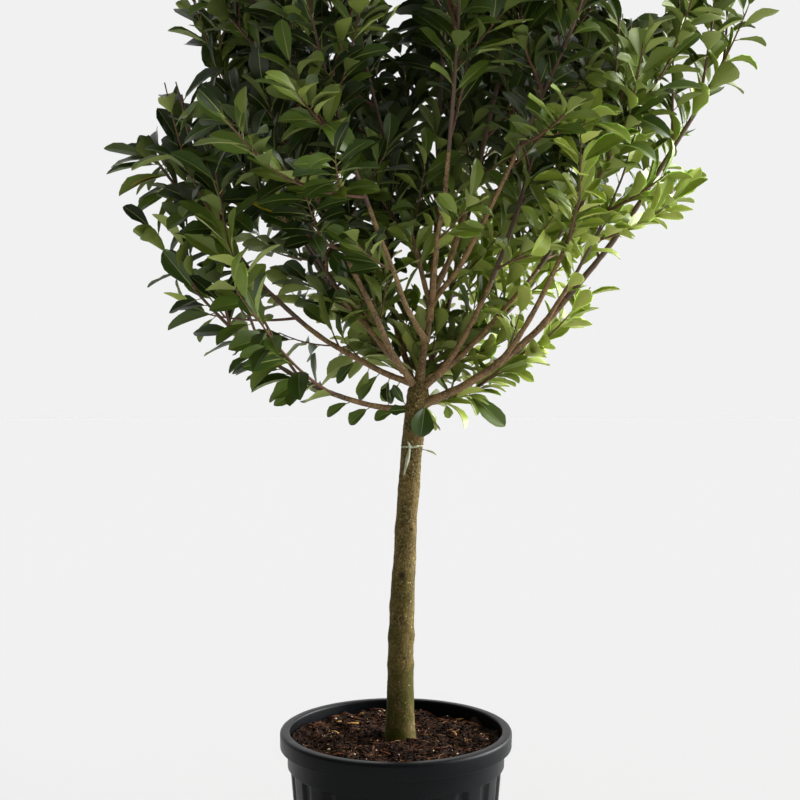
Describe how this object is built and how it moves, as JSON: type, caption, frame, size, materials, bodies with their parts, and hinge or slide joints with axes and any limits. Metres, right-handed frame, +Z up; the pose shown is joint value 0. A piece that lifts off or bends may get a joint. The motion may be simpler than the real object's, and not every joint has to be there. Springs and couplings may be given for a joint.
{
  "type": "potted star magnolia",
  "caption": "Star magnolia grown as a standard tree: one clear trunk in a black fluted nursery pot, boughs rising from one fork and a full, round, leafy crown.",
  "frame": {"origin": "centre of the pot's flat underside, on the floor", "axes": "+Z up along the tree, +X to the right of the pictured front, +Y away from it"},
  "size_m": [1.0818, 0.9602, 1.9117],
  "materials": {
    "pot_plastic": "moulded charcoal plastic with a soft sheen",
    "bark_compost": "damp bark compost",
    "trunk_bark": "olive-brown bark with pale specks",
    "limb_bark": "grey-brown young bark",
    "leaf_green": "leathery green leaves"
  },
  "bodies": {
    "root": {"bough_back_left": "limb_bark", "bough_back_right": "limb_bark", "bough_front_left": "limb_bark", "bough_front_mid": "limb_bark", "bough_front_right": "limb_bark", "bough_left_back": "limb_bark", "bough_left_high": "limb_bark", "bough_left_long": "limb_bark", "bough_left_low": "limb_bark", "bough_left_up": "limb_bark", "bough_right_back": "limb_bark", "bough_right_fork": "limb_bark", "bough_right_high": "limb_bark", "bough_right_inner": "limb_bark", "bough_right_low": "limb_bark", "bough_right_mid": "limb_bark", "bough_right_spray": "limb_bark", "bough_stem_centre": "limb_bark", "bough_stem_left": "limb_bark", "bough_stem_right": "limb_bark", "foliage_back_left": "leaf_green", "foliage_back_right": "leaf_green", "foliage_front_left": "leaf_green", "foliage_front_mid": "leaf_green", "foliage_front_right": "leaf_green", "foliage_left_back": "leaf_green", "foliage_left_high": "leaf_green", "foliage_left_long": "leaf_green", "foliage_left_low": "leaf_green", "foliage_left_up": "leaf_green", "foliage_right_back": "leaf_green", "foliage_right_fork": "leaf_green", "foliage_right_high": "leaf_green", "foliage_right_inner": "leaf_green", "foliage_right_low": "leaf_green", "foliage_right_mid": "leaf_green", "foliage_right_spray": "leaf_green", "foliage_stem_centre": "leaf_green", "foliage_stem_left": "leaf_green", "foliage_stem_right": "leaf_green", "leader": "limb_bark", "nursery_pot": "pot_plastic", "potting_soil": "bark_compost", "trunk": "trunk_bark"}
  },
  "joints": []
}
